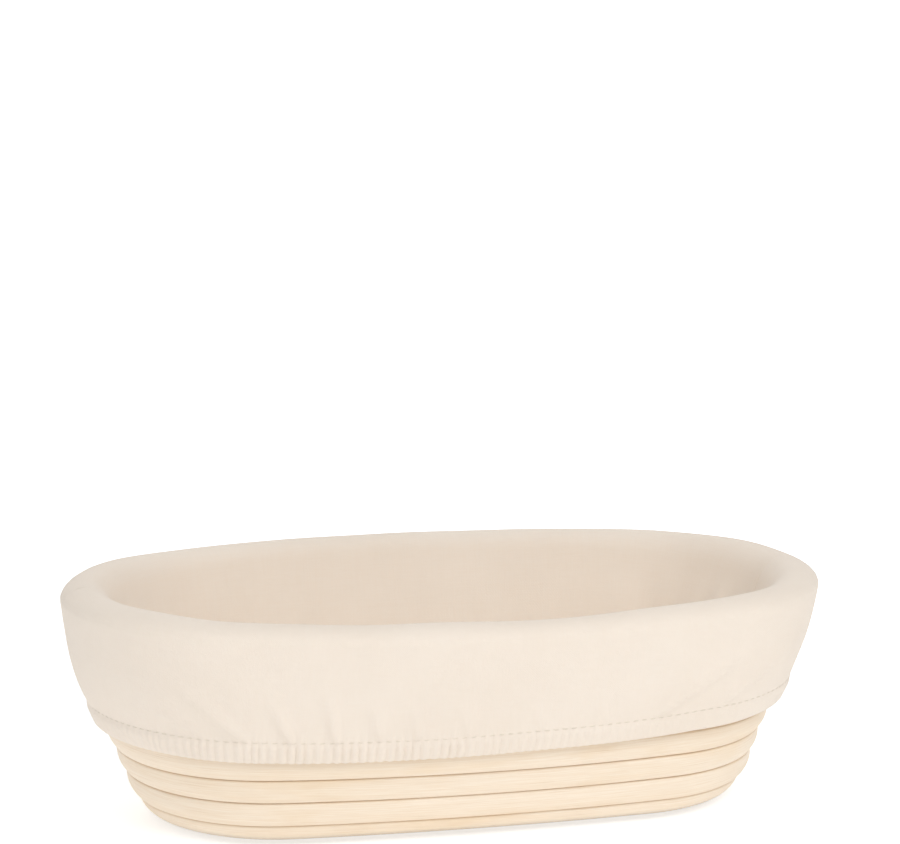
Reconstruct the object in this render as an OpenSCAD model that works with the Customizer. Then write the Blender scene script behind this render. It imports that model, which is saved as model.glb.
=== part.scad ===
// Oval proving basket coiled from round cane, with a fitted and removable cloth liner.
// The origin is at the centre of the underside, +Z is up and +X runs along the oval.
// A point of the bowl is (t, u, v): t goes round the oval, u runs from the middle of the
// base out along the cane wall's centre line to the rim, and v is the depth outward from
// that line. Every cane and every cloth edge is cut on the same t, u and v surfaces, so
// neighbours meet face to face with an even gap.

/* [Basket] */
// Length of the cane basket over its rim
basket_l = 258; // [240:1:290]
// Width of the cane basket over its rim
basket_w = 151; // [146:1:158]
// Turns of cane round the core, base and wall together
turns = 13; // [12:1:14]
// Width of the cane, measured along the wall
cane_w = 8.75; // [8.5:0.05:9]
// Thickness of the cane, measured through the wall
cane_t = 7.5; // [6.5:0.1:8.2]
// Gap between two turns
cane_gap = 0.1; // [0.08:0.01:0.2]

/* [Bowl] */
// Radius of the bend from base to wall, at the middle of the cane
corner_r = 12.5; // [12:0.5:18]
// Lean of the wall from upright
wall_lean = 22; // [18:0.5:25]
// Lean of the rim from upright
rim_lean = 10; // [4:0.5:12]
// Radius of the bend from wall to rim
rim_bend_r = 95; // [80:0.5:120]
// How far the long sides bow out at the rim
side_bow = 13.5; // [4:0.1:15]

/* [Liner] */
// Thickness of the cloth
cloth_t = 0.6; // [0.4:0.05:0.8]
// Space between the cloth and the cane
liner_gap = 0.35; // [0.3:0.05:0.5]
// Height of the skirt's lower edge above the table
hem_z = 32.8; // [28:0.2:38]
// Height of the hem casing
casing_h = 7.6; // [6:0.1:10]
// Thickness of the elastic
elastic_t = 0.4; // [0.3:0.05:0.5]
// Diameter of the sewing thread
thread_d = 0.4; // [0.3:0.05:0.45]

/* [Brads] */
// Diameter of a brad's shank
brad_d = 1.2; // [1:0.1:1.6]
// Length of a brad
brad_l = 12; // [11:0.5:14]
// Brads in each turn of cane
brads_per_turn = 6; // [4:1:8]

/* [Hidden] */

cane_color = [0.91, 0.80, 0.62];
cloth_color = [0.93, 0.88, 0.79];

// Stations round one turn; every piece uses the same ones
stations = 40;
// Share of t in half of a long side, and the turn of the rays along it
side_share = 0.1;
side_fan = 8;
// The start of a turn, and how many stations it takes to climb to the next level
turn_start = -0.05;
climb_stations = 4;

// Bowl profile: flat base, corner bend, straight wall, rim bend
pitch = cane_w + cane_gap;
u_rim = (turns + 0.5) * pitch;
wall_angle = 90 - wall_lean;
rim_angle = 90 - rim_lean;
corner_u = corner_r * wall_angle * PI / 180;
rim_bend_u = rim_bend_r * (rim_angle - wall_angle) * PI / 180;
// The flat base and the straight wall share what the two bends leave of u_rim, and they
// are split so that the rim comes out at basket_w
free_u = u_rim - corner_u - rim_bend_u;
bend_reach = corner_r * sin(wall_angle) + rim_bend_r * (sin(rim_angle) - sin(wall_angle));
rim_d = basket_w / 2;
base_d = (rim_d - cane_t / 2 * sin(rim_angle) - bend_reach - free_u * cos(wall_angle))
    / (1 - cos(wall_angle));
wall_u = base_d + corner_u;
rim_u = wall_u + free_u - base_d;
core_half = (basket_l - basket_w) / 2;
// Power that keeps the base's sides nearly straight and bows them towards the rim
bow_power = 3.3;

// [d, z, slope] on the wall's centre line, with d measured out from the core's line
function bend(from, r, a0, a) =
    [from[0] + r * (sin(a) - sin(a0)), from[1] + r * (cos(a0) - cos(a)), a];
function line_at(u) =
    let (base_end = [base_d, cane_t / 2],
         wall_start = bend(base_end, corner_r, 0, wall_angle),
         run = min(u, rim_u) - wall_u,
         wall_at = [wall_start[0] + run * cos(wall_angle),
                    wall_start[1] + run * sin(wall_angle), wall_angle])
    u < base_d ? [u, cane_t / 2, 0]
    : u < wall_u ? bend(base_end, corner_r, 0, (u - base_d) / corner_r * 180 / PI)
    : u < rim_u ? wall_at
    : bend(wall_at, rim_bend_r, wall_angle,
           wall_angle + (u - rim_u) / rim_bend_r * 180 / PI);

// A four-centred oval, d outside the core's line, met by the ray at t. A ray starts on
// the core's line: square to it along the sides, then fanning round its end. t is 0 at
// the middle of the back, 0.25 at the left end, 0.5 at the middle of the front and 0.75
// at the right end. The oval is worked out in one quarter and mirrored
function oval(t, d) =
    let (f = t - floor(t),
         q = min(f, abs(f - 0.5), 1 - f),
         from = core_half * min(q / side_share, 1),
         way = q < side_share ? 90 - side_fan * q / side_share
             : (90 - side_fan) * (0.25 - q) / (0.25 - side_share),
         bow = side_bow * pow(d / rim_d, bow_power),
         end_x = core_half + bow,
         end_r = d - bow,
         side_y = (end_x * end_x + d * d - end_r * end_r) / (2 * bow) - d,
         join_x = end_x + end_r * cos(atan2(side_y, end_x)),
         room = pow(end_r, 2) - pow((end_x - from) * sin(way), 2),
         end_s = (end_x - from) * cos(way) + sqrt(max(room, 0)),
         on_end = room > 0 && from + end_s * cos(way) >= join_x,
         b = from * cos(way) + side_y * sin(way),
         k = d * (2 * side_y + d) - from * from,
         s = on_end ? end_s : k / (b + sqrt(b * b + k)))
    [(f < 0.5 ? -1 : 1) * (from + s * cos(way)),
     (abs(f - 0.5) > 0.25 ? 1 : -1) * s * sin(way)];
function unit(w) = w / norm(w);
function wall_at(t, u) = let (p = line_at(u), o = oval(t, p[0])) [o[0], o[1], p[1]];
// Half steps that find the wall's two tangents
step_t = 0.0005;
step_u = 0.05;
function place(t, u, v) =
    let (round_wall = wall_at(t + step_t, u) - wall_at(t - step_t, u),
         up_wall = wall_at(t, u + step_u) - wall_at(t, u - step_u))
    wall_at(t, u) + v * unit(cross(round_wall, up_wall));

// Loft through sections of n points each. The first half of a section's edges and the
// second half are split along opposite diagonals, so that facing turns match
function quad(a, b, c, d, other) = other ? [[a, d, b], [b, d, c]] : [[a, c, b], [a, d, c]];
function side_faces(count, n, closed) =
    [for (i = [0 : count - (closed ? 1 : 2)], k = [0 : n - 1])
        let (a = i * n, b = ((i + 1) % count) * n, m = (k + 1) % n)
        each quad(a + k, b + k, b + m, a + m, k < n / 2)];
function fan(first, n, turned) =
    [for (k = [1 : n - 2]) turned ? [first, first + k, first + k + 1]
                                  : [first, first + k + 1, first + k]];
module loft(sections) {
    n = len(sections[0]);
    last = (len(sections) - 1) * n;
    polyhedron(points = [for (s = sections) each s],
        faces = concat(side_faces(len(sections), n, false), fan(0, n, false), fan(last, n, true)));
}
module closed_loft(sections) {
    polyhedron(points = [for (s = sections) each s],
        faces = side_faces(len(sections), len(sections[0]), true));
}

// ---- Cane ----

// Corner radius of the cane's section, and its outline as fractions of its half sizes
cane_corner = 2.6;
function cane_outline() =
    [for (q = [[1, 1, 90], [1, -1, 0], [-1, -1, -90], [-1, 1, -180]], step = [0 : 2])
        let (a = q[2] - 45 * step)
        [(q[0] * (cane_w / 2 - cane_corner) + cane_corner * cos(a)) / (cane_w / 2),
         (q[1] * (cane_t / 2 - cane_corner) + cane_corner * sin(a)) / (cane_t / 2)]];

// Level of the coil at station i, counted in turns from the core
function climb(s) = s >= climb_stations ? 1 : let (x = s / climb_stations) x * x * (3 - 2 * x);
function level(i) = floor(i / stations) + climb(i % stations);
function station_t(i) = turn_start + i / stations;
// The section at station i between depths v0 and v1. Against the core and along the rim
// the coil is cut off at a fixed line, which tapers both of its ends
function cane_section(i, v0, v1) =
    let (low = max(level(i) - 0.5, 0.5) * pitch + cane_gap / 2,
         high = min(level(i) + 0.5, turns + 0.5) * pitch - cane_gap / 2)
    [for (p = cane_outline())
        place(station_t(i), (low + high) / 2 + p[0] * (high - low) / 2,
              (v0 + v1) / 2 + p[1] * (v1 - v0) / 2)];

// A scarf joint: over these stations one cane thins to a tip on the inside of the wall
// while the next one grows from a tip on the outside
scarf_stations = 2;
scarf_tip = 0.9;
function scarf_v(i, start) =
    cane_t / 2 - scarf_tip
    - (cane_t - 2 * scarf_tip) * (i - start) / scarf_stations;
// A length of cane between stations, with a scarf at an end unless it is a free end
module cane(first, last, scarf_first, scarf_last) {
    color(cane_color)
    loft([for (i = [first : last])
        let (outer = scarf_last && i >= last - scarf_stations,
             inner = scarf_first && i <= first + scarf_stations,
             v0 = inner ? scarf_v(i, first) + cane_gap / 2 : -cane_t / 2,
             v1 = outer ? scarf_v(i, last - scarf_stations) - cane_gap / 2 : cane_t / 2)
        cane_section(i, v0, v1)]);
}
// Stations where the scarfs start: the turn, then the place in it
base_scarf = 5 * stations + 5;
lower_scarf = 8 * stations - 4;
upper_scarf = (turns - 2) * stations + 5;

module core_cane() {
    // The half section swept round the core's line, closed by its flat top and bottom
    half = [for (p = cane_outline()) if (p[0] > 0) p];
    rings = [for (p = half) [for (i = [0 : stations - 1])
        place(-i / stations, p[0] * cane_w / 2, p[1] * cane_t / 2)]];
    color(cane_color) loft(rings);
}
module base_cane() { cane(1, base_scarf + scarf_stations, false, true); }
module wall_cane_lower() { cane(base_scarf, lower_scarf + scarf_stations, true, true); }
module wall_cane_middle() { cane(lower_scarf, upper_scarf + scarf_stations, true, true); }
module wall_cane_upper() {
    cane(upper_scarf, turns * stations + climb_stations - 1, true, false);
}

// ---- Brads ----

head_d = 2.2;
head_t = 0.5;
point_l = 1.5;
// Depth of the head below the face it is driven into
brad_sink = 0.6;
module brad(from, to) {
    way = unit(to - from);
    l = norm(to - from);
    translate(from) rotate([0, acos(way[2]), atan2(way[1], way[0])])
        rotate_extrude($fn = 24)
            polygon([[0, 0], [head_d / 2, 0], [head_d / 2, head_t], [brad_d / 2, head_t],
                     [brad_d / 2, l - point_l], [0, l]]);
}
// Brads down through the edge of a turn into the turn inside it. They keep to the ends
// and the front, clear of the climb and the scarfs
brads_from_t = 0.14;
brads_span_t = 0.72;
module turn_brads(first, last) {
    color("lightsteelblue")
    for (turn = [first : last], k = [0 : brads_per_turn - 1]) {
        t = brads_from_t + brads_span_t * (k + (turn % 2) / 2) / brads_per_turn;
        u = (turn + 0.5) * pitch - cane_gap / 2 - brad_sink;
        brad(place(t, u, 0), place(t, max(u - brad_l, brad_d), 0));
    }
}
module base_brads() { turn_brads(1, 5); }
module wall_brads() { turn_brads(6, turns); }
module joint_brads() {
    color("lightsteelblue") {
        // One through the middle of each scarf, from the outside of the wall
        for (scarf = [base_scarf, lower_scarf, upper_scarf]) {
            i = scarf + scarf_stations / 2;
            u = level(i) * pitch;
            v = cane_t / 2 - brad_sink;
            brad(place(station_t(i), u, v), place(station_t(i), u, -v));
        }
        // Two down through the tapered end of the rim, and one through the start
        for (s = [1, 2]) {
            t = station_t(s);
            u = u_rim - cane_gap / 2 - brad_sink;
            brad(place(t, u, 0), place(t, u - brad_l, 0));
        }
        start_u = (climb(2) + 0.5) * pitch - cane_gap / 2 - brad_sink;
        brad(place(station_t(2), start_u, 0), place(station_t(2), brad_d, 0));
    }
}

// ---- Liner ----

// Half the gap left for the thread where two panels meet
seam_gap = 0.3;
// Height of the soft roll's centre above the rim cane's centre
roll_lift = 2.5;
// Depths of the cloth's middle: inside the wall, outside it, and outside the elastic
in_v = -(cane_t / 2 + liner_gap + cloth_t / 2);
out_v = -in_v;
elastic_room = 0.28;
elastic_v = out_v + cloth_t / 2 + elastic_room + elastic_t / 2;
casing_v = elastic_v + elastic_t / 2 + elastic_room + cloth_t / 2;
roll_u = turns * pitch + roll_lift;
wall_start_z = line_at(wall_u)[1] - casing_v * cos(wall_angle);
hem_u = wall_u + (hem_z - wall_start_z) / sin(wall_angle) + cloth_t / 2;
fold_r = (casing_v - out_v) / 2;
stitch_u = hem_u + casing_h;
// How far the turned-up edge runs past the stitch line
casing_lap = 1.5;

// Middle line of the cloth in u and v: up the inside, over the rim, down the skirt, and
// round the hem casing
corner_steps = 6;
wall_steps = 3;
roll_steps = 10;
skirt_steps = 7;
cloth_line = concat(
    [for (k = [0 : corner_steps]) [base_d + seam_gap + (corner_u - seam_gap) * k / corner_steps, in_v]],
    [for (k = [1 : wall_steps]) [wall_u + (rim_u - wall_u) * k / wall_steps, in_v]],
    [for (k = [1 : wall_steps - 1]) [rim_u + (roll_u - rim_u) * k / wall_steps, in_v]],
    [for (k = [0 : roll_steps]) let (a = 180 * k / roll_steps)
        [roll_u + out_v * sin(a), -out_v * cos(a)]],
    [for (k = [1 : skirt_steps]) let (f = k / skirt_steps)
        [roll_u + (stitch_u - roll_u) * f, out_v + (casing_v - out_v) * f]],
    [for (a = [0 : 45 : 180]) [hem_u + fold_r - fold_r * sin(a),
                               (casing_v + out_v) / 2 + fold_r * cos(a)]],
    [[stitch_u, out_v], [stitch_u + casing_lap, out_v]]);
function across(line, k) =
    let (w = unit(line[min(k + 1, len(line) - 1)] - line[max(k - 1, 0)])) [-w[1], w[0]];
cloth_n = len(cloth_line);
cloth_outline = concat(
    [for (k = [0 : cloth_n - 1]) cloth_line[k] + across(cloth_line, k) * cloth_t / 2],
    [for (k = [cloth_n - 1 : -1 : 0]) cloth_line[k] - across(cloth_line, k) * cloth_t / 2]);

// One side panel, from an end seam round to the other, half a turn on
module side_panel(start_t) {
    half = stations / 2;
    n = 2 * cloth_n;
    sections = [for (i = [0 : half])
        let (side = (start_t < 0.5 ? -1 : 1) * (i == 0 || i == half ? seam_gap : 0))
        [for (p = cloth_outline) place(start_t + i / stations, p[0], p[1]) + [0, side, 0]]];
    caps = [for (k = [0 : cloth_n - 2], at = [0, half]) let (f = at * n)
        each quad(f + k, f + k + 1, f + n - 2 - k, f + n - 1 - k, false)];
    turned = [for (k = [0 : len(caps) - 1])
        floor(k / 2) % 2 == 0 ? caps[k] : [caps[k][0], caps[k][2], caps[k][1]]];
    color(cloth_color)
        polyhedron(points = [for (s = sections) each s],
            faces = concat(side_faces(half + 1, n, false), turned));
}
module liner_front_panel() { side_panel(0.25); }
module liner_back_panel() { side_panel(0.75); }
module liner_base_panel() {
    color(cloth_color)
        translate([0, 0, cane_t / 2 - in_v - cloth_t / 2]) linear_extrude(cloth_t)
            polygon([for (i = [0 : stations - 1]) oval(i / stations, base_d - seam_gap)]);
}
module hem_elastic() {
    room = 0.25;
    low = hem_u + fold_r + room;
    high = stitch_u - thread_d - room;
    v0 = elastic_v - elastic_t / 2;
    v1 = elastic_v + elastic_t / 2;
    color("white")
        closed_loft([for (i = [0 : stations - 1])
            [for (p = [[high, v1], [high, v0], [low, v0], [low, v1]])
                place(i / stations, p[0], p[1])]]);
}
// Thread, as a ring round the bowl or as a line over the rim
thread_sides = 6;
module ring_thread(u, v) {
    color("ivory")
        closed_loft([for (i = [0 : stations - 1])
            [for (k = [0 : thread_sides - 1]) let (a = 90 - 360 * k / thread_sides)
                place(i / stations, u + thread_d / 2 * cos(a), v + thread_d / 2 * sin(a))]]);
}
module hem_thread() { ring_thread(stitch_u, (out_v + casing_v) / 2); }
module base_seam_thread() { ring_thread(base_d, in_v); }
// The line starts just above the base seam's own thread
thread_clear = 0.3;
module end_thread(t) {
    first = cloth_line[0] + [thread_clear, 0];
    line = [for (k = [0 : cloth_n - 1]) k == 0 ? first : cloth_line[k]];
    color("ivory")
        loft([for (k = [0 : cloth_n - 1])
            [for (s = [0 : thread_sides - 1])
                let (a = 360 * s / thread_sides * (t < 0.5 ? 1 : -1),
                     p = line[k] + across(line, k) * thread_d / 2 * cos(a))
                place(t, p[0], p[1]) + [0, thread_d / 2 * sin(a), 0]]]);
}
module left_seam_thread() { end_thread(0.25); }
module right_seam_thread() { end_thread(0.75); }

core_cane();
base_cane();
wall_cane_lower();
wall_cane_middle();
wall_cane_upper();
base_brads();
wall_brads();
joint_brads();
liner_base_panel();
liner_front_panel();
liner_back_panel();
hem_elastic();
hem_thread();
base_seam_thread();
left_seam_thread();
right_seam_thread();
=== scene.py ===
"""Looks for an oval proving basket coiled from cane, with its cloth liner."""

import math

import bpy
import numpy as np
from mathutils import Matrix, Vector


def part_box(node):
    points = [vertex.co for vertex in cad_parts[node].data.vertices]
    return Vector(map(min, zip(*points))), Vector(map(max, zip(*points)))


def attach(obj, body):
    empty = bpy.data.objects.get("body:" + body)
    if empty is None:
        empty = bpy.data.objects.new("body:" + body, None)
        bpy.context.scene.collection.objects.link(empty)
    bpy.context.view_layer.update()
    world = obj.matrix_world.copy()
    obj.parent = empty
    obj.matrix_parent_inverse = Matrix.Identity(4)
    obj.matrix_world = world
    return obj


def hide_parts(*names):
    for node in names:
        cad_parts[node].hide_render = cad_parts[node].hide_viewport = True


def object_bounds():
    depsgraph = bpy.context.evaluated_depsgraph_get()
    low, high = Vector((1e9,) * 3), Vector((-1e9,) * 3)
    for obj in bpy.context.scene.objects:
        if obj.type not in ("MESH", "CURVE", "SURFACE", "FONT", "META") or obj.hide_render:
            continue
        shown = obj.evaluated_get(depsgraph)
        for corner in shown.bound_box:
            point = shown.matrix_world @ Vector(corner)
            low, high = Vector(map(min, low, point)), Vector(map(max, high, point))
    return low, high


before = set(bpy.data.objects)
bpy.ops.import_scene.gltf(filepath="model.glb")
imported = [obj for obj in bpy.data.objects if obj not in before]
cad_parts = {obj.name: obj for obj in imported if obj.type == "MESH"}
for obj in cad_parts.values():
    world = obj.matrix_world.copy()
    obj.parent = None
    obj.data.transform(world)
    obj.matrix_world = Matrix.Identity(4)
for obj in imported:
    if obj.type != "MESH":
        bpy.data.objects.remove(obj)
CAD_LOW, CAD_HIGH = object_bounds()
MM = 0.001
MAX_STRAY = 0.004   # metres that a piece may differ from its CAD box

# ---- The bowl's surfaces, in millimetres, as the part defines them ----

CORE_LOW, CORE_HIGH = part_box("core_cane")
CANE_W = round((CORE_HIGH.y - CORE_LOW.y) / MM, 2)
CANE_T = round((CORE_HIGH.z - CORE_LOW.z) / MM, 2)
BASKET_L, BASKET_W = 258.0, 151.0
TURNS, CANE_GAP = 13, 0.1
CORNER_R, RIM_BEND_R = 12.5, 95.0
WALL_A, RIM_A = math.radians(90 - 22), math.radians(90 - 10)
SIDE_BOW, BOW_POWER = 13.5, 3.3
SIDE_SHARE, SIDE_FAN = 0.1, math.radians(8)
TURN_START, CLIMB = -0.05, 0.1

PITCH = CANE_W + CANE_GAP
RIM_END_U = (TURNS + 0.5) * PITCH
RIM_D = BASKET_W / 2
CORE_HALF = (BASKET_L - BASKET_W) / 2
FREE_U = RIM_END_U - CORNER_R * WALL_A - RIM_BEND_R * (RIM_A - WALL_A)
BEND_REACH = CORNER_R * math.sin(WALL_A) + RIM_BEND_R * (math.sin(RIM_A) - math.sin(WALL_A))
BASE_D = (RIM_D - CANE_T / 2 * math.sin(RIM_A) - BEND_REACH - FREE_U * math.cos(WALL_A)) \
    / (1 - math.cos(WALL_A))
WALL_U = BASE_D + CORNER_R * WALL_A
RIM_U = WALL_U + FREE_U - BASE_D


def line_at(u):
    """Distance out from the core's line, and height, of the wall's centre line at u."""
    corner = np.clip((u - BASE_D) / CORNER_R, 0, WALL_A)
    run = np.clip(u - WALL_U, 0, RIM_U - WALL_U)
    rim = WALL_A + np.clip((u - RIM_U) / RIM_BEND_R, 0, None)
    d = (np.minimum(u, BASE_D) + CORNER_R * np.sin(corner) + run * math.cos(WALL_A)
         + RIM_BEND_R * (np.sin(rim) - math.sin(WALL_A)))
    z = (CANE_T / 2 + CORNER_R * (1 - np.cos(corner)) + run * math.sin(WALL_A)
         + RIM_BEND_R * (math.cos(WALL_A) - np.cos(rim)))
    return d, z


def oval(t, d):
    """The four-centred oval d outside the core's line, met by the ray at t."""
    d = np.maximum(d, 0.05)
    f = t - np.floor(t)
    q = np.minimum(np.minimum(f, np.abs(f - 0.5)), 1 - f)
    start = CORE_HALF * np.minimum(q / SIDE_SHARE, 1)
    quarter = math.pi / 2 - SIDE_FAN
    way = np.where(q < SIDE_SHARE, math.pi / 2 - SIDE_FAN * q / SIDE_SHARE,
                   quarter * (0.25 - q) / (0.25 - SIDE_SHARE))
    bow = SIDE_BOW * (d / RIM_D) ** BOW_POWER
    end_x, end_r = CORE_HALF + bow, d - bow
    side_y = (end_x ** 2 + d ** 2 - end_r ** 2) / (2 * bow) - d
    join_x = end_x + end_r * np.cos(np.arctan2(side_y, end_x))
    room = end_r ** 2 - ((end_x - start) * np.sin(way)) ** 2
    end_s = (end_x - start) * np.cos(way) + np.sqrt(np.maximum(room, 0))
    on_end = (room > 0) & (start + end_s * np.cos(way) >= join_x)
    b = start * np.cos(way) + side_y * np.sin(way)
    k = d * (2 * side_y + d) - start ** 2
    s = np.where(on_end, end_s, k / (b + np.sqrt(b * b + k)))
    return (np.where(f < 0.5, -1, 1) * (start + s * np.cos(way)),
            np.where(np.abs(f - 0.5) > 0.25, 1, -1) * s * np.sin(way))


def uneven_end(x, z):
    """How far hand coiling has pushed each end out, lengthwise: the lower wall on the left, and
    the base's corner on the right."""
    left = -2.0 * ramp(-x, 0, 60) * (1 - ramp(z, 34, 66))
    right = 1.2 * ramp(x, 0, 60) * (1 - ramp(z, 10, 28))
    return left + right


def wall_at(t, u):
    """Points on the wall's centre surface."""
    d, z = line_at(u)
    x, y = oval(t, d)
    return np.stack(np.broadcast_arrays(x + uneven_end(x, z), y, z), -1)


def unit(w):
    return w / np.maximum(np.linalg.norm(w, axis=-1, keepdims=True), 1e-12)


def place(t, u, v):
    """The point at t round the bowl, u out along the wall and v outward from its centre line."""
    t, u, v = np.broadcast_arrays(np.asarray(t, float), np.asarray(u, float), np.asarray(v, float))
    round_wall = wall_at(t + 0.0005, u) - wall_at(t - 0.0005, u)
    up_wall = wall_at(t, u + 0.05) - wall_at(t, u - 0.05)
    return wall_at(t, u) + v[..., None] * unit(np.cross(round_wall, up_wall))


def ramp(x, low, high):
    """0 below low, 1 above high, smooth between."""
    x = np.clip((x - low) / (high - low), 0, 1)
    return x * x * (3 - 2 * x)


class Ripple:
    """Seeded smooth noise round a closed loop of some length, about -1 to 1."""

    def __init__(self, seed, length, shortest, longest, count=24):
        rng = np.random.default_rng(seed)
        waves = rng.uniform(length / longest, length / shortest, count)
        self.k = 2 * math.pi * np.maximum(np.round(waves), 1) / length
        self.phase = rng.uniform(0, 2 * math.pi, count)
        self.size = 0.65 / math.sqrt(count)

    def __call__(self, s):
        return self.size * np.cos(np.asarray(s)[..., None] * self.k + self.phase).sum(-1)


# ---- Meshes and materials ----

def grid_faces(rows, cols, close_rows=False, close_cols=False):
    """Quads of a grid of points numbered row by row."""
    r = np.arange(rows if close_rows else rows - 1)[:, None]
    c = np.arange(cols if close_cols else cols - 1)[None, :]
    r2, c2 = (r + 1) % rows, (c + 1) % cols
    return np.stack(np.broadcast_arrays(r * cols + c, r * cols + c2, r2 * cols + c2, r2 * cols + c),
                    -1).reshape(-1, 4)


def make_piece(name, points, faces, coords, material, body, nodes):
    """A smooth mesh in the row frame that rides on body and stands for the CAD nodes. coords
    are the material's own coordinates, in metres."""
    mesh = bpy.data.meshes.new(name)
    mesh.from_pydata((points * MM).tolist(), [], [list(map(int, f)) for f in faces])
    mesh.polygons.foreach_set("use_smooth", [True] * len(mesh.polygons))
    attribute = mesh.attributes.new("grain", "FLOAT_VECTOR", "POINT")
    attribute.data.foreach_set("vector", (coords * MM).astype(np.float32).ravel())
    mesh.materials.append(material)
    mesh.update()
    o = bpy.data.objects.new(name, mesh)
    bpy.context.scene.collection.objects.link(o)
    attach(o, body)
    if nodes:
        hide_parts(*nodes)
        low = np.min([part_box(n)[0] for n in nodes], 0)
        high = np.max([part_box(n)[1] for n in nodes], 0)
        stray = max(np.abs(points.min(0) * MM - low).max(), np.abs(points.max(0) * MM - high).max())
        if stray > MAX_STRAY:
            raise ValueError(f"{name} strays {stray * 1000:.1f} mm from its CAD box")
    return o


class Nodes:
    """Short calls for building one node material."""

    def __init__(self, name):
        self.material = bpy.data.materials.new(name)
        self.material.use_nodes = True
        self.tree = self.material.node_tree
        self.shader = self.tree.nodes["Principled BSDF"]

    def add(self, kind, inputs=None, **settings):
        n = self.tree.nodes.new("ShaderNode" + kind)
        for key, value in settings.items():
            setattr(n, key, value)
        for key, value in (inputs or {}).items():
            self.set(n.inputs[key], value)
        return n

    def set(self, socket, value):
        if isinstance(value, bpy.types.NodeSocket):
            self.tree.links.new(value, socket)
        else:
            socket.default_value = value

    def math(self, operation, a, b=0.0, clamp=False):
        return self.add("Math", {0: a, 1: b}, operation=operation, use_clamp=clamp).outputs[0]

    def grain(self, scale=(1, 1, 1), offset=(0, 0, 0)):
        vector = self.add("Attribute", attribute_name="grain").outputs["Vector"]
        mapping = self.add("Mapping", {"Vector": vector, "Scale": scale, "Location": offset})
        return mapping.outputs[0]

    def noise(self, scale, offset=(0, 0, 0), detail=3.0, roughness=0.5):
        return self.add("TexNoise", {"Vector": self.grain(scale, offset), "Scale": 1.0,
                                     "Detail": detail, "Roughness": roughness}).outputs["Fac"]

    def remap(self, value, low, high, to_low=0.0, to_high=1.0):
        return self.add("MapRange", {"Value": value, "From Min": low, "From Max": high,
                                     "To Min": to_low, "To Max": to_high}).outputs[0]

    def mix(self, fac, a, b, blend="MIX"):
        n = self.add("Mix", data_type="RGBA", blend_type=blend)
        self.set(n.inputs["Factor"], fac)
        self.set(n.inputs["A"], a)
        self.set(n.inputs["B"], b)
        return n.outputs["Result"]

    def bump(self, height, distance, strength=1.0, normal=None):
        inputs = {"Height": height, "Distance": distance, "Strength": strength}
        if normal is not None:
            inputs["Normal"] = normal
        return self.add("Bump", inputs).outputs[0]

    def finish(self, **inputs):
        for key, value in inputs.items():
            self.set(self.shader.inputs[key.replace("_", " ")], value)
        return self.material


def rgb(r, g, b):
    """An sRGB colour of 0 to 255 as linear RGBA."""
    c = np.array([r, g, b]) / 255
    return tuple(np.where(c <= 0.04045, c / 12.92, ((c + 0.055) / 1.055) ** 2.4)) + (1.0,)


def cane_material():
    n = Nodes("peeled_cane")
    fibre = n.noise((60, 3200, 3200), detail=4.0, roughness=0.6)
    fine = n.noise((180, 9000, 9000), (3, 1, 2), detail=2.0)
    tone = n.noise((7, 50, 50), (5, 0, 0), detail=2.0)
    blush = n.noise((28, 120, 120), (0, 7, 0), detail=3.0)
    colour = n.mix(n.remap(tone, 0.35, 0.65), rgb(253, 240, 222), rgb(250, 234, 212))
    colour = n.mix(n.remap(blush, 0.56, 0.75, 0, 0.45), colour, rgb(240, 212, 172))
    colour = n.mix(n.remap(fibre, 0.35, 0.65, 0.55, 0), colour, rgb(240, 217, 188))
    streak = n.remap(n.noise((35, 5200, 5200), (0, 0, 9), detail=2.0), 0.66, 0.74, 0, 0.35)
    colour = n.mix(streak, colour, rgb(196, 158, 108))
    # Painted shade: darker colour where a turn meets its neighbours, for shade in the groove
    side = n.add("SeparateXYZ", {0: n.grain()}).outputs[1]
    side = n.math("ABSOLUTE", side)
    painted_groove_shade = n.remap(side, CANE_W / 2 * MM * 0.9, CANE_W / 2 * MM * 0.99, 0, 1)
    colour = n.mix(n.math("MULTIPLY", painted_groove_shade, 0.35), colour, rgb(190, 150, 104))
    bump = n.bump(fibre, 0.00012, 0.55)
    bump = n.bump(fine, 0.00004, 0.5, bump)
    bump = n.bump(blush, 0.0003, 0.25, bump)
    rough = n.remap(fibre, 0.3, 0.7, 0.42, 0.6)
    return n.finish(Base_Color=colour, Roughness=rough, Normal=bump, Specular_IOR_Level=0.35)


def cloth_material(name, light, dark, weave=0.55):
    """Plain weave of slubby cotton and linen thread."""
    n = Nodes(name)
    split = n.add("SeparateXYZ", {0: n.grain()})
    turn = 2 * math.pi / (weave * MM)
    warp = n.math("SINE", n.math("MULTIPLY", split.outputs[0], turn))
    weft = n.math("SINE", n.math("MULTIPLY", split.outputs[1], turn))
    over = n.math("MULTIPLY", warp, weft)
    slub_x = n.noise((120, 2900, 60), detail=3.0, roughness=0.6)
    slub_y = n.noise((2900, 120, 60), (4, 4, 0), detail=3.0, roughness=0.6)
    slubs = n.math("ADD", slub_x, slub_y)
    patches = n.noise((22, 22, 22), detail=3.0)
    colour = n.mix(n.remap(patches, 0.3, 0.7), light, dark)
    colour = n.mix(n.remap(slubs, 0.85, 1.25, 0, 0.12), colour, dark, "MULTIPLY")
    colour = n.mix(n.remap(over, -1, 1, 0.07, 0), colour, rgb(205, 186, 163), "MULTIPLY")
    bump = n.bump(over, 0.00012, 0.35)
    bump = n.bump(slubs, 0.00012, 0.3, bump)
    bump = n.bump(patches, 0.002, 0.06, bump)
    return n.finish(Base_Color=colour, Roughness=0.92, Normal=bump, Specular_IOR_Level=0.2,
                    Sheen_Weight=0.15, Sheen_Roughness=0.5)


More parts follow.
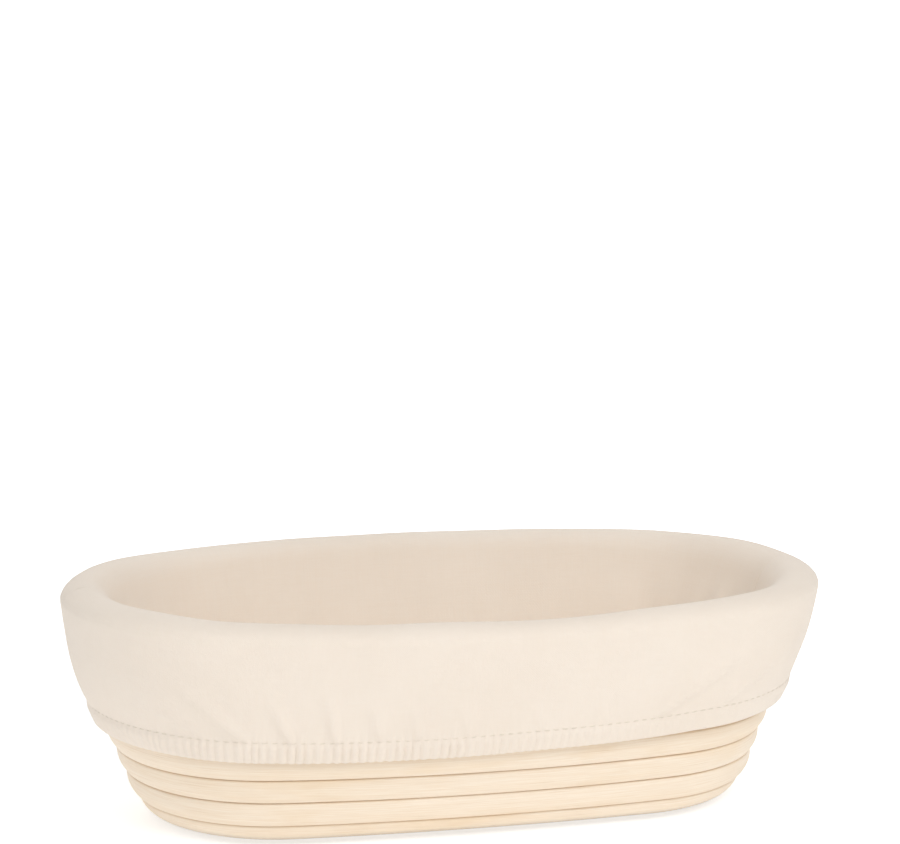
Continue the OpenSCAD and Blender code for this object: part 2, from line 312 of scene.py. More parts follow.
def thread_material():
    """Twisted cotton: the grain runs along the thread and round it."""
    n = Nodes("sewing_thread")
    split = n.add("SeparateXYZ", {0: n.grain()})
    twist = n.math("SINE", n.math("MULTIPLY", n.math("ADD", split.outputs[0], split.outputs[1]),
                                  2 * math.pi / (0.5 * MM)))
    fuzz = n.noise((4000, 4000, 4000))
    colour = n.mix(n.remap(twist, -1, 1, 0.5, 0), rgb(244, 234, 219), rgb(205, 186, 160))
    bump = n.bump(n.math("ADD", twist, fuzz), 0.00008, 0.6)
    return n.finish(Base_Color=colour, Roughness=0.8, Normal=bump, Sheen_Weight=0.2)


def elastic_material():
    """Knitted elastic tape: ribs along it, with a fine cross knit."""
    n = Nodes("elastic_tape")
    split = n.add("SeparateXYZ", {0: n.grain()})
    rib = n.math("SINE", n.math("MULTIPLY", split.outputs[1], 2 * math.pi / (0.9 * MM)))
    knit = n.math("SINE", n.math("MULTIPLY", split.outputs[0], 2 * math.pi / (0.6 * MM)))
    height = n.math("ADD", rib, n.math("MULTIPLY", knit, 0.4))
    tint = n.noise((300, 900, 900))
    colour = n.mix(n.remap(rib, -1, 1, 0.6, 0), rgb(240, 238, 232), rgb(200, 196, 186))
    colour = n.mix(n.remap(tint, 0.3, 0.7, 0, 0.3), colour, rgb(222, 218, 208))
    return n.finish(Base_Color=colour, Roughness=0.75, Normal=n.bump(height, 0.0001, 0.7))


def steel_material():
    """Drawn steel wire, faintly scratched."""
    n = Nodes("brad_steel")
    where = n.add("TexCoord").outputs["Object"]
    scratch = n.add("TexNoise", {"Vector": where, "Scale": 2500.0, "Detail": 4.0}).outputs["Fac"]
    stain = n.add("TexNoise", {"Vector": where, "Scale": 260.0, "Detail": 3.0}).outputs["Fac"]
    colour = n.mix(n.remap(stain, 0.35, 0.7), rgb(205, 206, 210), rgb(160, 156, 150))
    rough = n.remap(scratch, 0.3, 0.7, 0.25, 0.5)
    return n.finish(Base_Color=colour, Metallic=1.0, Roughness=rough,
                    Normal=n.bump(scratch, 0.00003, 0.5))


CANE = cane_material()
CLOTH = cloth_material("liner_cloth", rgb(250, 239, 226), rgb(247, 235, 221))
THREAD = thread_material()
ELASTIC = elastic_material()
STEEL = steel_material()

for node in ("base_brads", "wall_brads", "joint_brads"):
    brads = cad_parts[node]
    brads.data.materials.clear()
    brads.data.materials.append(STEEL)

# ---- Cane: one coil in five lengths ----

FINE = 160          # stations round one turn
HALF_W, HALF_T = CANE_W / 2, CANE_T / 2
EDGE_R = 1.1        # rounding of the cane's edges, either side of a groove
CROWN = 0.18        # how much its faces are domed, as a share of the half thickness
GRAIN_APART = 1000  # the lengths lie this far apart in the grain, so that no two look alike


def cane_outline():
    """The cane's section as fractions of its half sizes: flattened where turns press together,
    domed on its faces. The first point is on the contact side."""
    a = np.linspace(0, math.pi / 2, 5)
    rx, ry = EDGE_R / HALF_W, EDGE_R / HALF_T
    edge = np.stack([1 - rx + rx * np.cos(a), 1 - CROWN - ry + ry * np.sin(a)], -1)
    face_x = (1 - rx) * np.array([0.75, 0.5, 0.25, 0])
    face = np.stack([face_x, 1 - CROWN * (face_x / (1 - rx)) ** 2], -1)
    quarter = np.concatenate([[[1, 0]], edge, face])
    half = np.concatenate([quarter, quarter[-2:0:-1] * [-1, 1]])
    return np.concatenate([half, [[-1, 0]], half[:0:-1] * [1, -1]])


def level(turn):
    return np.floor(turn) + ramp(turn % 1, 0, CLIMB)


SCARF = 0.05        # turns that a scarf joint takes
SCARF_TIP = 0.35    # thickness left at its tip
BASE_SCARF, LOWER_SCARF, UPPER_SCARF = 5.125, 7.9, TURNS - 2 + 0.125
uneven = Ripple(11, TURNS, 0.25, 1.5)
uneven_width = Ripple(12, TURNS, 0.2, 1.2)


def cane_length(name, node, first, last, scarf_first, scarf_last, grain_place):
    """One length of cane between two places in the coil, with a scarf where it joins the next."""
    turn = np.linspace(first, last, int(round((last - first) * FINE)) + 1)[:, None]
    here = level(turn)
    low = np.maximum(here - 0.5, 0.5) * PITCH + CANE_GAP / 2
    high = np.minimum(here + 0.5, TURNS + 0.5) * PITCH - CANE_GAP / 2
    cut = lambda start: HALF_T - SCARF_TIP - (CANE_T - 2 * SCARF_TIP) * (turn - start) / SCARF
    inner = cut(first) + CANE_GAP / 2 if scarf_first else turn * 0 - HALF_T
    outer = cut(last - SCARF) - CANE_GAP / 2 if scarf_last else turn * 0 + HALF_T
    v0 = np.where(turn <= first + SCARF + 1e-9, inner, -HALF_T)
    v1 = np.where(turn >= last - SCARF - 1e-9, outer, HALF_T)
    outline = cane_outline()
    x, y = outline[None, :, 0], outline[None, :, 1]
    # No cane is quite even: it stands a twentieth of a millimetre in and out, and is up to 2 per
    # cent thinner in places
    stand = 0.05 * uneven(turn) * ramp(here, 5.5, 7)
    squeeze = 1 - 0.012 * (1 + uneven_width(turn))
    u = (low + high) / 2 + x * (high - low) / 2
    v = (v0 + v1) / 2 + y * (v1 - v0) / 2 * squeeze + stand
    points = place(turn + TURN_START, u, v)
    middle = points.mean(1)
    along = np.concatenate([[0], np.linalg.norm(np.diff(middle, axis=0), axis=1).cumsum()])
    along = along[:, None] + grain_place * GRAIN_APART
    coords = np.stack(np.broadcast_arrays(along, x * HALF_W, y * HALF_T), -1)
    rows, n = points.shape[:2]
    faces = [f[::-1] for f in grid_faces(rows, n, close_cols=True)]
    faces += [list(range(n)), list(range((rows - 1) * n, rows * n))[::-1]]
    return make_piece(name, points.reshape(-1, 3), faces, coords.reshape(-1, 3), CANE, "basket",
                      [node])


def core_length():
    """The straight cane in the middle, rounded at both ends."""
    a = np.linspace(math.pi / 2, -math.pi / 2, 15)
    x = np.abs(np.cos(a)) ** (2 / 3.4)
    y = np.sign(np.sin(a)) * np.abs(np.sin(a)) ** (2 / 2.3)
    x[0] = x[-1] = 0.02
    t = -np.arange(FINE)[None, :] / FINE
    points = place(t, x[:, None] * HALF_W, y[:, None] * HALF_T)
    coords = np.stack([points[..., 0] + 9 * GRAIN_APART, points[..., 1] * 0.8,
                       points[..., 2] - HALF_T], -1)
    rows, n = points.shape[:2]
    faces = list(grid_faces(rows, n, close_cols=True))
    faces += [list(range(n))[::-1], list(range((rows - 1) * n, rows * n))]
    return make_piece("cane_core", points.reshape(-1, 3), faces, coords.reshape(-1, 3), CANE,
                      "basket", ["core_cane"])


core_length()
cane_length("cane_base", "base_cane", 0.025, BASE_SCARF + SCARF, False, True, 1)
cane_length("cane_lower", "wall_cane_lower", BASE_SCARF, LOWER_SCARF + SCARF, True, True, 2)
cane_length("cane_middle", "wall_cane_middle", LOWER_SCARF, UPPER_SCARF + SCARF, True, True, 3)
cane_length("cane_upper", "wall_cane_upper", UPPER_SCARF, TURNS + 0.075, True, False, 4)

# ---- Liner ----

CLOTH_T, LINER_GAP = 0.6, 0.35
HEM_Z, CASING_H = 32.8, 7.6
ROLL_LIFT, ELASTIC_ROOM, ELASTIC_T = 2.5, 0.28, 0.4
SEAM_EDGE = 0.04    # a sewn edge stops this far short of the seam
CASING_LAP = 1.5    # the hem's inner layer goes this far past the stitch line
STITCH_DIP = 0.45   # how far the stitches draw the cloth in
GATHER_PITCH, GATHER_JITTER = 2.9, 0.16
TUCK_PITCH = 7.5    # tucks where the side panels meet the base panel
OUT_V = HALF_T + LINER_GAP + CLOTH_T / 2
ELASTIC_V = OUT_V + CLOTH_T / 2 + ELASTIC_ROOM + ELASTIC_T / 2
CASING_V = ELASTIC_V + ELASTIC_T / 2 + ELASTIC_ROOM + CLOTH_T / 2
ROLL_U = TURNS * PITCH + ROLL_LIFT
WALL_START_Z = line_at(WALL_U)[1] - CASING_V * math.cos(WALL_A)
HEM_U = WALL_U + (HEM_Z - WALL_START_Z) / math.sin(WALL_A) + CLOTH_T / 2
FOLD_R = (CASING_V - OUT_V) / 2
STITCH_U = HEM_U + CASING_H

# Distance round the hem against t, so that gathers and stitches are evenly spaced
TABLE_T = np.linspace(0, 1, 4001)
ring = place(TABLE_T, STITCH_U, CASING_V)
TABLE_S = np.concatenate([[0], np.linalg.norm(np.diff(ring, axis=0), axis=1).cumsum()])
HEM_L = TABLE_S[-1]
TABLE_X = ring[:, 0]


def t_of(s):
    turns = np.floor(s / HEM_L)
    return turns + np.interp(s - turns * HEM_L, TABLE_S, TABLE_T)


def s_of(t):
    turns = np.floor(t)
    return turns * HEM_L + np.interp(t - turns, TABLE_T, TABLE_S)


def front_s(x):
    """Distance round the hem of the place on the front side at x."""
    front = (TABLE_T > 0.25) & (TABLE_T < 0.75)
    return np.interp(x, TABLE_X[front], TABLE_S[front])


GATHERS = 4 * round(HEM_L / 4 / GATHER_PITCH)
gather_phase = Ripple(21, HEM_L, 12, 60)
gather_size = Ripple(22, HEM_L, 9, 50)
wall_soft = Ripple(23, HEM_L, 30, 120)
wall_soft2 = Ripple(24, HEM_L, 18, 70)
roll_soft = Ripple(25, HEM_L, 40, 160)
base_phase = Ripple(26, HEM_L, 15, 60)


# The hem's height off level against x: it sags along the left half and rides up at the right
HEM_SHIFT_X = [-112, -98, -78, -50, -18, 10, 34, 66, 86, 106]
HEM_SHIFT = [-0.2, -0.9, -1.5, -1.8, -1.2, -0.6, -0.3, 0.2, 1.3, 2.2]


def hem_shift(s):
    """How far the hem and its stitch line stand off level at s, with the table's corners
    rounded by a mean over four places."""
    x = np.interp(s % HEM_L, TABLE_S, TABLE_X)
    shift = 0
    for near in (-9, -3, 3, 9):
        shift = shift + np.interp(x + near, HEM_SHIFT_X, HEM_SHIFT) / 4
    return shift + 0.12 * wall_soft(s)


def rim_shift(s):
    """How much higher the rim's roll is at s: most at the two ends, the left one above all."""
    x = np.interp(s % HEM_L, TABLE_S, TABLE_X)
    return 0.9 * (np.abs(x) / 129) ** 2 - 0.55 + 0.6 * ramp(-x, 60, 120) + 0.15 * roll_soft(s)


def end_slack(s):
    """The liner is cut roomy: how far it hangs off the inside of the wall just below the rim,
    most at the two ends."""
    x = np.interp(s % HEM_L, TABLE_S, TABLE_X)
    return 2.2 + 4.8 * ramp(np.abs(x), 60, 120) + 0.4 * roll_soft(s)


# Slack folds on the inside of the wall: distance from an end seam, half width and height
INSIDE_FOLDS = [(13, 4.5, 1.5), (27, 3.5, 2.2), (40, 5.5, 1.5), (57, 4.5, 1.2), (80, 7, 0.8)]


def inside_folds(s, w):
    """Height of the folds at s round the hem and the share w of the way up the wall."""
    from_seam = np.mod(s - HEM_L / 4, HEM_L / 2)
    total = 0
    for at, width, height in INSIDE_FOLDS:
        for middle in (at, HEM_L / 2 - at * 0.93):
            off = from_seam - middle + 9 * (w - 0.5)
            total = total + height * np.exp(-(off / width / (0.6 + w)) ** 2)
    return total * ramp(w, 0.1, 0.5) * (1 - ramp(w, 0.75, 1.0))


def gather_count(s):
    """Gathers between the start of the hem and s."""
    return GATHERS * s / HEM_L + GATHER_JITTER * gather_phase(s)


def gathers(s):
    """Height of the gathers round the hem, 0 to 1, tightest on the left of each side."""
    x = np.interp(s % HEM_L, TABLE_S, TABLE_X)
    x = np.where(np.abs(s / HEM_L - 0.5) % 1 < 0.25, x, -x)
    from_seam = np.abs(np.mod(s, HEM_L / 2) - HEM_L / 4)
    strength = 0.04 + 0.96 * np.exp(-((x + 45) / 78) ** 2)
    strength = strength * (0.15 + 0.85 * ramp(from_seam, 4, 48))
    wave = 0.5 - 0.5 * np.cos(2 * math.pi * gather_count(s))
    return wave ** 0.8 * strength * (0.88 + 0.12 * gather_size(s))


# Soft creases of the skirt: x and height above the stitch line at the lower end, the same at
# the upper end, half width and height of the crease, all in millimetres
CREASES = [(-80, 0, -98, 19, 2.6, 1.2), (-66, 0, -74, 17, 2.1, 1.3), (-52, 0, -57, 20, 2.2, 1.4),
           (-38, 0, -42, 15, 2.2, 1.0), (-26, 0, -29, 13, 2.0, 0.9), (-92, 0, -108, 12, 2.4, 0.5),
           (-10, 0, -12, 13, 2.0, 0.8), (14, 0, 12, 13, 2.2, 0.8), (36, 0, 37, 12, 2.2, 0.7),
           (60, 4, 92, 26, 4.2, 1.2), (80, 2, 104, 18, 3.6, 0.8)]


def skirt_creases(s, h, back):
    """Crease heights at s round the hem and h above the stitch line. The back has them too,
    turned end for end."""
    total = np.zeros(np.broadcast(s, h).shape)
    for x0, h0, x1, h1, width, height in CREASES:
        s0, s1 = front_s(x0), front_s(x1)
        if back:
            s0, s1 = s0 + HEM_L / 2, s1 + HEM_L / 2
        along = (h - h0) / (h1 - h0)
        off = s - (s0 + (s1 - s0) * along)
        fade = ramp(along, -0.5, 0.1) * (1 - ramp(along, 0.35, 1.25))
        spread = width * (0.6 + 0.7 * np.clip(along, 0, 1.2))
        total += height * fade * np.exp(-(off / spread) ** 2)
    return total * ramp(h, -0.3, 2.2)


def profile(s, back):
    """Middle surface of a side panel's cloth as u and v for each s: up the inside of the wall,
    over the rim, down the skirt, round the hem and up inside it again."""
    s = s[:, None]
    roll = ROLL_U + rim_shift(s)
    stitch = STITCH_U + hem_shift(s)
    hem = HEM_U + hem_shift(s)
    g = gathers(s)
    parts = []
    # Inside wall, from the base seam up
    w = np.concatenate([np.linspace(0, 0.12, 5), np.linspace(0.2, 1, 11)])[None, :]
    u = BASE_D + SEAM_EDGE + (roll - BASE_D - SEAM_EDGE) * w
    tuck_pitch = HEM_L / round(HEM_L / TUCK_PITCH)
    tuck = 0.5 + 0.5 * np.cos(2 * math.pi * s / tuck_pitch + 2 * base_phase(s))
    slack = 0.45 * (1 + wall_soft(s + 9 * w)) * np.sin(math.pi * w) ** 2 \
        + 0.3 * (1 + wall_soft2(s - 14 * w)) * ramp(w, 0.05, 0.4) * (1 - ramp(w, 0.75, 1)) \
        + 0.35 * tuck * ramp(w, 0.0, 0.03) * (1 - ramp(w, 0.05, 0.22))
    room = end_slack(s)
    drop = 1.1 * room
    u = u - drop * ramp(w, 0.3, 1)
    parts.append((u, -OUT_V - slack - room * ramp(w, 0.15, 0.95) - inside_folds(s, w)))
    # Roll over the rim
    a = np.linspace(0, math.pi, 13)[None, 1:]
    puff = 1 + 0.03 * (1 + roll_soft(s)) * np.sin(a)
    sag = np.where(a < math.pi / 2, drop * (1 - np.sin(a)), 0)
    parts.append((roll + OUT_V * puff * np.sin(a) - sag,
                  -(OUT_V + room / 2) * np.cos(a) * puff - room / 2))
    # Skirt, down to the stitch line
    f = 1 - (1 - np.linspace(0, 1, 19)[None, 1:]) ** 1.3
    u = roll + (stitch - roll) * f
    h = u - stitch
    v = OUT_V + (CASING_V - STITCH_DIP - OUT_V) * f
    v = v + 0.25 * np.sin(math.pi * f) ** 2 * (1 + wall_soft2(s + 0.4 * h))
    x = np.interp(s % HEM_L, TABLE_S, TABLE_X)
    v = v + 1.3 * ramp(-x, 60, 118) * np.sin(math.pi * f ** 1.6) + skirt_creases(s, h, back)
    v = v + 0.45 * g * np.exp(-h / 2.0)
    parts.append((u, v))
    # Casing: a gathered tube from the stitch line down to the fold
    c = np.linspace(0, 1, 8)[None, 1:]
    u = stitch + (hem + FOLD_R - stitch) * c
    tube = np.sin(math.pi * np.clip(c * 1.1, 0, 1)) ** 0.7
    v = CASING_V - STITCH_DIP * (1 - ramp(c, 0, 0.25)) + 0.2 * tube \
        + (0.5 + 0.5 * ramp(c, 0, 0.3) - 0.4 * ramp(c, 0.85, 1)) * g
    v = v - 0.1 * ramp(c, 0.2, 0.6)
    parts.append((u, v))
    last_v = v[:, -1:]
    # Fold
    a = np.linspace(0, math.pi, 6)[None, 1:]
    r = (last_v - OUT_V) / 2
    parts.append((hem + FOLD_R - FOLD_R * np.sin(a), (last_v + OUT_V) / 2 + r * np.cos(a)))
    # Layer inside the casing
    c = np.linspace(0, 1, 4)[None, 1:]
    u = hem + FOLD_R + (stitch + CASING_LAP - hem - FOLD_R) * c
    parts.append((u, OUT_V + 0 * u))
    u = np.concatenate([np.broadcast_to(p[0], np.broadcast(p[0], s).shape) for p in parts], 1)
    v = np.concatenate([np.broadcast_to(p[1], np.broadcast(p[1], s).shape) for p in parts], 1)
    return u, v


def sheet(middle, thickness):
    """Both faces of a cloth whose middle surface is a grid of points, closed round its edge."""
    rows, cols = middle.shape[:2]
    across = np.gradient(middle, axis=0)
    down = np.gradient(middle, axis=1)
    normal = unit(np.cross(across, down))
    points = np.concatenate([(middle + normal * thickness / 2).reshape(-1, 3),
                             (middle - normal * thickness / 2).reshape(-1, 3)])
    n = rows * cols
    one = grid_faces(rows, cols)
    index = np.arange(n).reshape(rows, cols)
    edge = np.concatenate([index[:-1, 0], index[-1, :-1], index[:0:-1, -1], index[0, :0:-1]])
    after = np.roll(edge, -1)
    rim = np.stack([edge, after, after + n, edge + n], -1)
    return points, np.concatenate([one[:, ::-1], one + n, rim])


def arc_coords(middle):
    """Distances round and along a grid of points, for the weave."""
    across = np.linalg.norm(np.diff(middle, axis=0), axis=-1).mean(1)
    down = np.linalg.norm(np.diff(middle, axis=1), axis=-1)
    y = np.concatenate([np.zeros((len(middle), 1)), down.cumsum(1)], 1)
    x = np.concatenate([[0], across.cumsum()])[:, None] + 0 * y
    return np.stack([x, y, 0 * x], -1)


GATHER_STEPS = 6    # points across one gather


def side_panel(name, node, start_t):
    # The points fall at the same places on every gather, so that all come out alike
    ends = s_of(np.array([start_t, start_t + 0.5]))
    table = np.linspace(*ends, 4000)
    count = gather_count(table)
    steps = np.arange(math.floor(count[0] * GATHER_STEPS) + 1, math.ceil(count[-1] * GATHER_STEPS))
    s = np.interp(steps / GATHER_STEPS, count, table)
    s = np.concatenate([ends[:1], s[(s > ends[0] + 0.05) & (s < ends[1] - 0.05)], ends[1:]])
    t = t_of(s)
    back = start_t > 0.5
    u, v = profile(s, back)
    # The cloth puffs out beside each end seam and is drawn in along it
    from_seam = np.minimum(s - s[0], s[-1] - s)[:, None]
    puff = 0.35 * (1 - np.exp(-from_seam / 0.8)) * np.exp(-from_seam / 5)
    v = v + puff * np.sign(v)
    middle = place(t[:, None], u, v)
    side = -1 if start_t < 0.5 else 1
    middle[[0, -1], :, 1] = side * SEAM_EDGE
    points, faces = sheet(middle, CLOTH_T)
    coords = arc_coords(middle).reshape(-1, 3) + [0, 0, 40 if back else 0]
    make_piece(name, points, faces, np.concatenate([coords, coords]), CLOTH, "liner",
               [node])


side_panel("liner_front", "liner_front_panel", 0.25)
side_panel("liner_back", "liner_back_panel", 0.75)


def base_panel():
    """The oval bottom, laid on the cane and slightly rumpled."""
    rings = np.concatenate([np.linspace(0.3, BASE_D - 6, 26),
                            np.linspace(BASE_D - 5, BASE_D - SEAM_EDGE, 8)])
    t = np.arange(200)[None, :] / 200
    x, y = oval(t, rings[:, None] + 0 * t)
    rumple = np.zeros(x.shape)
    rng = np.random.default_rng(31)
    for _ in range(26):
        a = rng.uniform(0, 2 * math.pi)
        k = 2 * math.pi / rng.uniform(22, 70)
        rumple += np.cos((x * math.cos(a) + y * math.sin(a)) * k + rng.uniform(0, 6.3))
    pad = 0.16 * (rumple / 5 + 1.6)
    seam = ramp(BASE_D - rings, 0, 2.0)[:, None]
    middle = np.stack([x + uneven_end(x, CANE_T / 2), y,
                       CANE_T / 2 + OUT_V + np.maximum(pad, 0) * seam], -1)
    rows, cols = middle.shape[:2]
    up = np.array([0, 0, CLOTH_T / 2])
    points = np.concatenate([(middle + up).reshape(-1, 3), (middle - up).reshape(-1, 3)])
    one = grid_faces(rows, cols, close_cols=True)
    n = rows * cols
    last = (rows - 1) * cols + np.arange(cols)
    after = np.roll(last, -1)
    rim = np.stack([last, last + n, after + n, after], -1)
    # The innermost ring is a slit along the middle line, closed from side to side
    i = np.arange(-cols // 4, cols // 4)
    slit = np.stack([i, i + 1, cols // 2 - 1 - i, cols // 2 - i], -1) % cols
    slit = [list(dict.fromkeys(map(int, f))) for f in slit]
    faces = list(one[:, ::-1]) + list(one + n) + list(rim)
    faces += slit + [[k + n for k in f][::-1] for f in slit]
    coords = middle.reshape(-1, 3)
    make_piece("liner_base", points, faces, np.concatenate([coords, coords]), CLOTH, "liner",
               ["liner_base_panel"])


base_panel()


def elastic_band():
    s = np.linspace(0, HEM_L, 400, endpoint=False)
    t = t_of(s)[:, None]
    shift = hem_shift(s)[:, None]
    low = HEM_U + FOLD_R + 0.4 + shift
    high = STITCH_U - 0.9 + shift
    f = np.array([[1, 1], [1, 0.5], [1, 0], [0.5, 0], [0, 0], [0, 0.5], [0, 1], [0.5, 1]])
    u = low + (high - low) * f[None, :, 0]
    v = ELASTIC_V + ELASTIC_T * (f[None, :, 1] - 0.5)
    points = place(t, u, v)
    coords = np.stack(np.broadcast_arrays(s[:, None], u - low, v), -1)
    faces = grid_faces(len(s), len(f), close_rows=True, close_cols=True)[:, ::-1]
    make_piece("hem_elastic_band", points.reshape(-1, 3), faces, coords.reshape(-1, 3), ELASTIC,
               "liner", ["hem_elastic"])


elastic_band()

# ---- Stitches ----

THREAD_R = 0.2
STITCH_SINK = 0.25  # how deep each stitch's ends go into the cloth


def stitch_row(name, node, line, normals, pitch, lift, show=0.78):
    """A row of separate stitches along a line of points: each one dips into the cloth at both
    ends. normals point out of the cloth."""
    step = np.linalg.norm(np.diff(line, axis=0), axis=1)
    length = np.concatenate([[0], step.cumsum()])
    count = int(length[-1] // pitch)
    steps, sides = 8, 7
    points, faces, coords = [], [], []
    for i in range(count):
        at = (i + 0.5 - show / 2 + show * np.linspace(0, 1, steps)) * length[-1] / count
        centre = np.stack([np.interp(at, length, line[:, k]) for k in range(3)], -1)
        out = unit(np.stack([np.interp(at, length, normals[:, k]) for k in range(3)], -1))
        arch = np.sin(math.pi * np.linspace(0, 1, steps)) ** 0.5
        centre = centre + out * (lift * arch - STITCH_SINK * (1 - arch))[:, None]
        way = unit(np.gradient(centre, axis=0))
        flat = unit(np.cross(way, out))
        top = np.cross(flat, way)
        a = 2 * math.pi * np.arange(sides) / sides
        thick = THREAD_R * (0.55 + 0.45 * arch)[:, None, None]
        tube = centre[:, None] + thick * (np.cos(a)[None, :, None] * flat[:, None]
                                          + np.sin(a)[None, :, None] * top[:, None])
        base = i * steps * sides
        points.append(tube.reshape(-1, 3))
        faces += (grid_faces(steps, sides, close_cols=True) + base).tolist()
        faces += [[base + k for k in range(sides)][::-1],
                  [base + (steps - 1) * sides + k for k in range(sides)]]
        coords.append(np.stack(np.broadcast_arrays(at[:, None], a[None, :] * THREAD_R, 0.0), -1)
                      .reshape(-1, 3))
    make_piece(name, np.concatenate(points), faces, np.concatenate(coords), THREAD, "liner",
               [node])


def cloth_line(t, u, v):
    """Points on the shell, and the outward normals there."""
    points = place(t, u, v)
    return points, unit(place(t, u, v + 1) - points)


s = np.linspace(0, HEM_L, 2400)
stitch_u = STITCH_U + hem_shift(s)
stitch_v = CASING_V - STITCH_DIP + 0.35 * gathers(s) + CLOTH_T / 2
line, out = cloth_line(t_of(s), stitch_u, stitch_v)
stitch_row("hem_stitches", "hem_thread", line, out, pitch=3.1, lift=0.02)

t = np.linspace(0, 1, 1600)
line, out = cloth_line(t, BASE_D + 0 * t, -OUT_V + 0 * t)
stitch_row("base_seam_stitches", "base_seam_thread", line, -out, pitch=2.8, lift=0.2)

for name, node, t_seam in (("left_seam_stitches", "left_seam_thread", 0.25),
                           ("right_seam_stitches", "right_seam_thread", 0.75)):
    u, v = profile(np.array([s_of(t_seam)]), False)
    # From just above the base seam to the fold of the hem
    u, v = u[0, 1:-5], v[0, 1:-5]
    line = place(t_seam + 0 * u, u, v)
    ahead = unit(np.gradient(line, axis=0))
    out = unit(np.cross(ahead, np.array([0, 1.0 if t_seam < 0.5 else -1.0, 0])))
    stitch_row(name, node, line, out, pitch=2.6, lift=0.05)

# ---- Stage: floor, light and camera ----

floor_mesh = bpy.data.meshes.new("floor")
FLOOR_HALF = 60.0
corners = [(-1, -1), (1, -1), (1, 1), (-1, 1)]
floor_mesh.from_pydata([(x * FLOOR_HALF, y * FLOOR_HALF, 0) for x, y in corners], [],
                       [(0, 1, 2, 3)])
floor = bpy.data.objects.new("floor", floor_mesh)
floor.location.z = CAD_LOW.z
bpy.context.scene.collection.objects.link(floor)


GLOW_ON_OBJECT, GLOW_NEAR, GLOW_FAR = 0.31, 0.47, 1


def floor_material():
    """Bright paper. It glows a little, so that only close contact darkens it, and it isn't
    there for a view from below."""
    n = Nodes("floor_paper")
    n.tree.nodes.remove(n.shader)
    paper = n.add("BsdfDiffuse", {"Color": (0.86, 0.86, 0.86, 1)}).outputs[0]
    path = n.add("LightPath")
    where = n.add("NewGeometry").outputs["Position"]
    away = n.add("VectorMath", {0: where}, operation="LENGTH").outputs["Value"]
    to_camera = n.remap(away, 0.2, 0.6, GLOW_NEAR, GLOW_FAR)
    shine = n.remap(path.outputs["Is Camera Ray"], 0, 1, GLOW_ON_OBJECT, to_camera)
    glow = n.add("Emission", {"Color": (0.96, 0.98, 1, 1), "Strength": shine}).outputs[0]
    lit = n.add("AddShader", {0: paper, 1: glow}).outputs[0]
    near = n.math("LESS_THAN", path.outputs["Ray Length"], 0.004)
    unseen = n.math("SUBTRACT", 1.0, path.outputs["Is Camera Ray"])
    below = n.add("NewGeometry").outputs["Backfacing"]
    open_part = n.math("MAXIMUM", below, n.math("MULTIPLY", near, unseen))
    clear = n.add("BsdfTransparent").outputs[0]
    result = n.add("MixShader", {0: open_part, 1: lit, 2: clear}).outputs[0]
    output = next(x for x in n.tree.nodes if x.type == "OUTPUT_MATERIAL")
    n.set(output.inputs["Surface"], result)
    return n.material


floor_mesh.materials.append(floor_material())

world = bpy.data.worlds.new("studio")
bpy.context.scene.world = world
world.use_nodes = True
tree = world.node_tree
seen = tree.nodes["Background"]
seen.inputs["Color"].default_value = (1, 1, 1, 1)
seen.inputs["Strength"].default_value = 1.0
sky = tree.nodes.new("ShaderNodeBackground")
sky.inputs["Color"].default_value = (0.98, 0.99, 1, 1)
sky.inputs["Strength"].default_value = 0.49
path = tree.nodes.new("ShaderNodeLightPath")
mixer = tree.nodes.new("ShaderNodeMixShader")
tree.links.new(path.outputs["Is Camera Ray"], mixer.inputs[0])
tree.links.new(sky.outputs[0], mixer.inputs[1])
tree.links.new(seen.outputs[0], mixer.inputs[2])
tree.links.new(mixer.outputs[0], tree.nodes["World Output"].inputs["Surface"])

SIZE = (CAD_HIGH - CAD_LOW).length
CENTRE = (CAD_LOW + CAD_HIGH) / 2


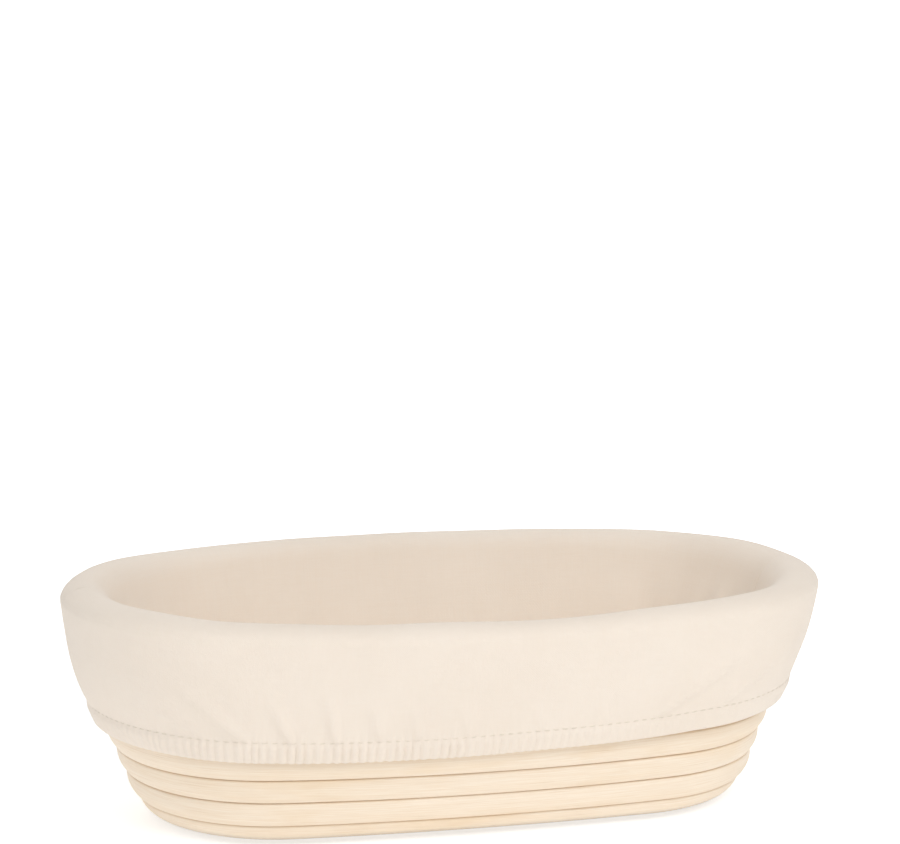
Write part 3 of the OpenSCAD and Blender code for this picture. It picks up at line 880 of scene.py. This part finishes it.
def softbox(name, azimuth, elevation, distance, width, power, colour):
    """A square lamp aimed at the middle of the object. Azimuth 0 is in front of it and 90 to
    its right."""
    a, e = math.radians(azimuth), math.radians(elevation)
    back = Vector((math.sin(a) * math.cos(e), -math.cos(a) * math.cos(e), math.sin(e)))
    data = bpy.data.lights.new(name, "AREA")
    data.shape, data.size = "SQUARE", width * SIZE
    data.energy, data.color = power, colour
    lamp = bpy.data.objects.new(name, data)
    lamp.location = CENTRE + back * distance * SIZE
    lamp.rotation_euler = back.to_track_quat("Z", "Y").to_euler()
    bpy.context.scene.collection.objects.link(lamp)


softbox("key", 22, 40, 4.0, 2.2, 4.55, (1, 0.99, 0.98))
softbox("fill", -55, 25, 4.5, 3.5, 2.3, (1, 0.985, 0.965))
softbox("top", -10, 80, 4.0, 3.0, 1.4, (1, 1, 1))
softbox("back", 175, 32, 4.5, 3.5, 4.2, (1, 0.99, 0.98))

# The camera stands a metre off, 15 degrees to the left of the middle, and looks slightly down
DISTANCE, AIM_HEIGHT = 1.045, 0.52
azimuth, elevation = math.radians(-15.2), math.radians(14.47)
back = Vector((math.sin(azimuth) * math.cos(elevation), -math.cos(azimuth) * math.cos(elevation),
               math.sin(elevation)))
camera = bpy.data.objects.new("camera", bpy.data.cameras.new("camera"))
bpy.context.scene.collection.objects.link(camera)
bpy.context.scene.camera = camera
camera.data.sensor_width = 36.0
camera.data.lens = 122.7
target = Vector((CENTRE.x, CENTRE.y, CAD_LOW.z + AIM_HEIGHT * (CAD_HIGH.z - CAD_LOW.z)))
aim = back.to_track_quat("Z", "Y").to_matrix().to_4x4()
# Turned up and level, so that the object sits low in the picture as it does in the photograph
turn = (Matrix.Rotation(math.radians(0.5), 4, "Z") @ Matrix.Rotation(math.radians(4.83), 4, "X")
        @ Matrix.Rotation(math.radians(-0.095), 4, "Y"))
camera.matrix_world = Matrix.Translation(target + back * DISTANCE) @ aim @ turn

scene = bpy.context.scene
scene.view_settings.view_transform = "Standard"
scene.view_settings.look = "None"
